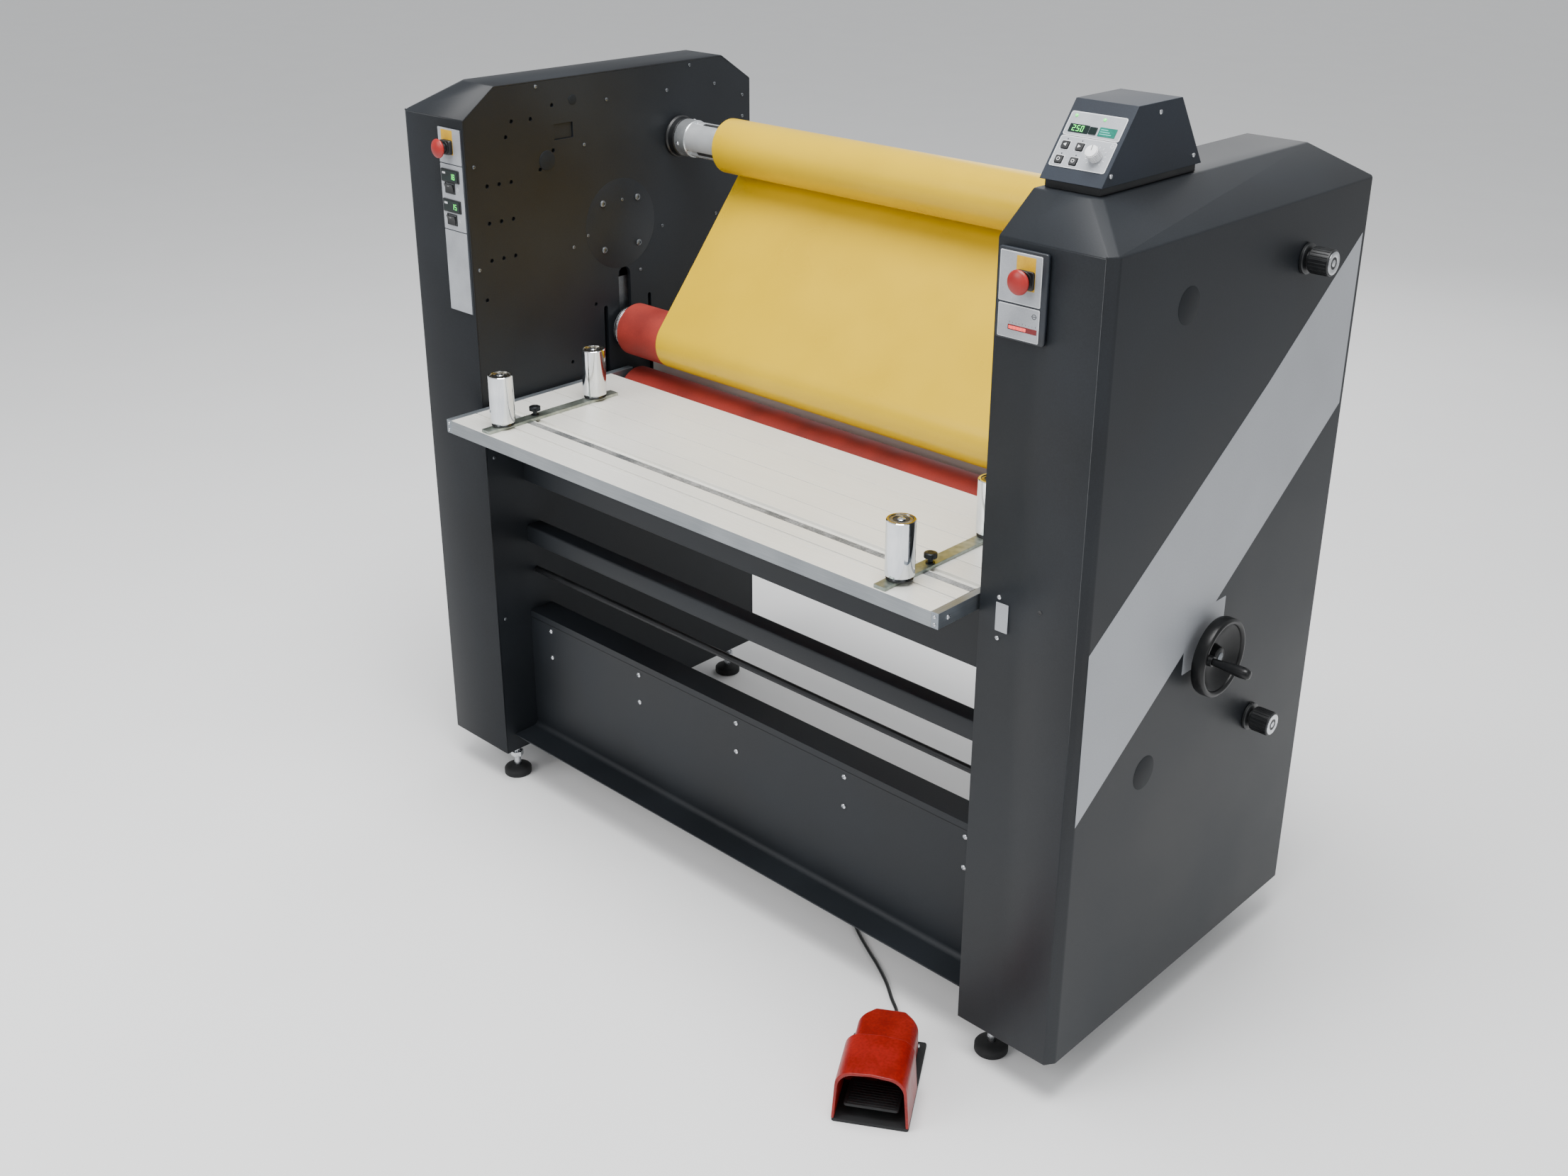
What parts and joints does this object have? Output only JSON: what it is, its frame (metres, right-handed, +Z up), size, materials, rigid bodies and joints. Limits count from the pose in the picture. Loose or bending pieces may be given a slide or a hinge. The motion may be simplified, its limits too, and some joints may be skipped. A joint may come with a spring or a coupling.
{
  "type": "cold roll laminator",
  "caption": "Floor-standing roll laminator: two tall side cabinets, two rubber pressure rollers, infeed and outfeed tables, film supply roll, control box and foot switch.",
  "frame": {"origin": "on the floor, under the centre of the bounding box of everything but the foot switch and its cable", "axes": "+X to the operator's right, towards the cabinet with the handwheel; +Y to the rear, the way a board travels; +Z up"},
  "size_m": [1.82, 1.1651, 1.6834],
  "materials": {
    "powder_coat": "fine textured charcoal powder coat",
    "panel_grey": "satin light grey",
    "black_metal": "satin black",
    "black_plastic": "moulded, satin",
    "foot_rubber": "moulded, matt",
    "cable_jacket": "matt",
    "steel": "machined",
    "roller_core": "turned, bright",
    "silicone_rubber": "ground, matt",
    "film": "glossy yellow film",
    "aluminium": "extruded, natural anodised",
    "zinc_plate": "bright zinc plated",
    "chrome": "polished",
    "red_paint": "hammered red enamel",
    "red_plastic": "moulded, satin",
    "white_plastic": "moulded, satin"
  },
  "bodies": {
    "frame": {"left_cover": "powder_coat", "right_cover": "powder_coat", "left_side_plate": "powder_coat", "right_side_plate": "powder_coat", "left_front_foot": "foot_rubber", "left_rear_foot": "foot_rubber", "right_front_foot": "foot_rubber", "right_rear_foot": "foot_rubber", "infeed_table": "aluminium", "infeed_left_rail": "aluminium", "infeed_right_rail": "aluminium", "outfeed_table": "aluminium", "front_table_beam": "powder_coat", "rear_table_beam": "powder_coat", "cross_tube": "powder_coat", "cross_rod": "black_metal", "lower_panel": "powder_coat", "control_housing": "powder_coat", "control_fascia": "panel_grey", "left_front_panel": "panel_grey", "right_front_panel": "panel_grey", "drive_motor": "black_metal", "film_web": "film", "foot_switch_base": "black_metal", "foot_switch_hood": "red_paint", "foot_switch_cable": "cable_jacket"},
    "nip_carriage": {"left_bearing_block": "steel", "right_bearing_block": "steel"},
    "upper_roller": {"upper_roller_shaft": "roller_core", "upper_roller_sleeve": "silicone_rubber"},
    "lower_roller": {"lower_roller_shaft": "roller_core", "lower_roller_sleeve": "silicone_rubber"},
    "supply_roll": {"supply_shaft": "roller_core", "film_roll": "film"},
    "left_screw": {"left_lift_screw": "steel"},
    "right_screw": {"right_lift_screw": "steel"},
    "handwheel": {"handwheel": "black_plastic"},
    "wheel_handle": {"wheel_handle": "black_plastic"},
    "upper_brake_knob": {"upper_brake_knob": "black_plastic"},
    "lower_brake_knob": {"lower_brake_knob": "black_plastic"},
    "left_stop_stem": {"left_stop_stem": "black_plastic"},
    "right_stop_stem": {"right_stop_stem": "black_plastic"},
    "left_stop_head": {"left_stop_head": "red_plastic"},
    "right_stop_head": {"right_stop_head": "red_plastic"},
    "upper_rocker": {"upper_rocker_switch": "black_plastic"},
    "lower_rocker": {"lower_rocker_switch": "black_plastic"},
    "upper_left_key": {"upper_left_key": "black_plastic"},
    "upper_right_key": {"upper_right_key": "black_plastic"},
    "lower_left_key": {"lower_left_key": "black_plastic"},
    "lower_right_key": {"lower_right_key": "black_plastic"},
    "speed_knob": {"speed_knob": "white_plastic"},
    "left_guide": {"left_guide_bar": "zinc_plate"},
    "right_guide": {"right_guide_bar": "zinc_plate"},
    "left_front_roller": {"left_front_guide_roller": "chrome"},
    "left_rear_roller": {"left_rear_guide_roller": "chrome"},
    "right_front_roller": {"right_front_guide_roller": "chrome"},
    "right_rear_roller": {"right_rear_guide_roller": "chrome"},
    "left_thumb_screw": {"left_thumb_screw": "black_plastic"},
    "right_thumb_screw": {"right_thumb_screw": "black_plastic"},
    "treadle": {"foot_treadle": "black_plastic"}
  },
  "joints": [
    {"name": "nip_lift", "type": "slide", "parent": "frame", "child": "nip_carriage", "axis": [0, 0, 1], "range_m": [-0.029, 0.03], "deforming": ["film_web"]},
    {"name": "upper_roller_spin", "type": "hinge", "parent": "nip_carriage", "child": "upper_roller", "pos_m": [-0.06, 0.005, 1.008], "axis": [1, 0, 0], "continuous": true},
    {"name": "lower_roller_spin", "type": "hinge", "parent": "frame", "child": "lower_roller", "pos_m": [-0.06, 0.005, 0.864], "axis": [1, 0, 0], "continuous": true},
    {"name": "supply_roll_spin", "type": "hinge", "parent": "frame", "child": "supply_roll", "pos_m": [-0.06, 0.178, 1.402], "axis": [1, 0, 0], "continuous": true},
    {"name": "left_screw_turn", "type": "hinge", "parent": "frame", "child": "left_screw", "pos_m": [-0.742, 0.005, 1.2], "axis": [0, 0, 1], "range_deg": [-2090, 2162]},
    {"name": "right_screw_turn", "type": "hinge", "parent": "frame", "child": "right_screw", "pos_m": [0.622, 0.005, 1.2], "axis": [0, 0, 1], "range_deg": [-2090, 2162]},
    {"name": "handwheel_turn", "type": "hinge", "parent": "frame", "child": "handwheel", "pos_m": [0.82, -0.0226, 0.754], "axis": [1, 0, 0], "range_deg": [-523, 541]},
    {"name": "wheel_handle_spin", "type": "hinge", "parent": "handwheel", "child": "wheel_handle", "pos_m": [0.87, -0.07491, 0.771], "axis": [1, 0, 0], "continuous": true},
    {"name": "upper_brake_turn", "type": "hinge", "parent": "frame", "child": "upper_brake_knob", "pos_m": [0.82, 0.178, 1.402], "axis": [1, 0, 0], "range_deg": [-180, 180]},
    {"name": "lower_brake_turn", "type": "hinge", "parent": "frame", "child": "lower_brake_knob", "pos_m": [0.82, 0.1785, 0.5445], "axis": [1, 0, 0], "range_deg": [-180, 180]},
    {"name": "left_stop_push", "type": "slide", "parent": "frame", "child": "left_stop_stem", "axis": [0, 1, 0], "range_m": [0, 0.004]},
    {"name": "left_stop_twist", "type": "hinge", "parent": "left_stop_stem", "child": "left_stop_head", "pos_m": [-0.757, -0.42, 1.449], "axis": [0, 1, 0], "range_deg": [0, 45], "stiffness_Nm_per_rad": 0.05},
    {"name": "right_stop_push", "type": "slide", "parent": "frame", "child": "right_stop_stem", "axis": [0, 1, 0], "range_m": [0, 0.004]},
    {"name": "right_stop_twist", "type": "hinge", "parent": "right_stop_stem", "child": "right_stop_head", "pos_m": [0.648, -0.42, 1.45], "axis": [0, 1, 0], "range_deg": [0, 45], "stiffness_Nm_per_rad": 0.05},
    {"name": "upper_rocker_tilt", "type": "hinge", "parent": "frame", "child": "upper_rocker", "pos_m": [-0.759, -0.40215, 1.3675], "axis": [1, 0, 0], "range_deg": [-8, 8]},
    {"name": "lower_rocker_tilt", "type": "hinge", "parent": "frame", "child": "lower_rocker", "pos_m": [-0.759, -0.40215, 1.304], "axis": [1, 0, 0], "range_deg": [-8, 8]},
    {"name": "upper_left_key_push", "type": "slide", "parent": "frame", "child": "upper_left_key", "axis": [0, 0.7937, -0.6083], "range_m": [0, 0.001], "stiffness_N_per_m": 300, "springref_m": -0.001},
    {"name": "upper_right_key_push", "type": "slide", "parent": "frame", "child": "upper_right_key", "axis": [0, 0.7937, -0.6083], "range_m": [0, 0.001], "stiffness_N_per_m": 300, "springref_m": -0.001},
    {"name": "lower_left_key_push", "type": "slide", "parent": "frame", "child": "lower_left_key", "axis": [0, 0.7937, -0.6083], "range_m": [0, 0.001], "stiffness_N_per_m": 300, "springref_m": -0.001},
    {"name": "lower_right_key_push", "type": "slide", "parent": "frame", "child": "lower_right_key", "axis": [0, 0.7937, -0.6083], "range_m": [0, 0.001], "stiffness_N_per_m": 300, "springref_m": -0.001},
    {"name": "speed_knob_turn", "type": "hinge", "parent": "frame", "child": "speed_knob", "pos_m": [0.67, -0.28437, 1.61738], "axis": [0, -0.7937, 0.6083], "range_deg": [-135, 135]},
    {"name": "left_guide_slide", "type": "slide", "parent": "frame", "child": "left_guide", "axis": [-1, 0, 0], "range_m": [-0.4, 0.08]},
    {"name": "left_front_roller_spin", "type": "hinge", "parent": "left_guide", "child": "left_front_roller", "pos_m": [-0.58, -0.44, 0.98], "axis": [0, 0, 1], "continuous": true},
    {"name": "left_rear_roller_spin", "type": "hinge", "parent": "left_guide", "child": "left_rear_roller", "pos_m": [-0.58, -0.2, 0.98], "axis": [0, 0, 1], "continuous": true},
    {"name": "left_thumb_screw_turn", "type": "hinge", "parent": "left_guide", "child": "left_thumb_screw", "pos_m": [-0.579, -0.36, 0.935], "axis": [0, 0, 1], "range_deg": [-180, 180]},
    {"name": "right_guide_slide", "type": "slide", "parent": "frame", "child": "right_guide", "axis": [1, 0, 0], "range_m": [-0.4, 0.08]},
    {"name": "right_front_roller_spin", "type": "hinge", "parent": "right_guide", "child": "right_front_roller", "pos_m": [0.46, -0.44, 0.98], "axis": [0, 0, 1], "continuous": true},
    {"name": "right_rear_roller_spin", "type": "hinge", "parent": "right_guide", "child": "right_rear_roller", "pos_m": [0.46, -0.2, 0.98], "axis": [0, 0, 1], "continuous": true},
    {"name": "right_thumb_screw_turn", "type": "hinge", "parent": "right_guide", "child": "right_thumb_screw", "pos_m": [0.459, -0.36, 0.935], "axis": [0, 0, 1], "range_deg": [-180, 180]},
    {"name": "treadle_press", "type": "hinge", "parent": "frame", "child": "treadle", "pos_m": [0.5487, -0.56139, 0.018], "axis": [0.8545, 0.5195, 0], "range_deg": [0, 9], "stiffness_Nm_per_rad": 3, "springref_deg": -5.73}
  ],
  "couplings": [
    {"joint": "handwheel_turn", "follows": "nip_lift", "rad_per_m": 314.16},
    {"joint": "left_screw_turn", "follows": "nip_lift", "rad_per_m": 1256.6},
    {"joint": "right_screw_turn", "follows": "nip_lift", "rad_per_m": 1256.6},
    {"joint": "upper_roller_spin", "follows": "lower_roller_spin", "ratio": -1},
    {"joint": "supply_roll_spin", "follows": "lower_roller_spin", "ratio": 0.9913}
  ]
}
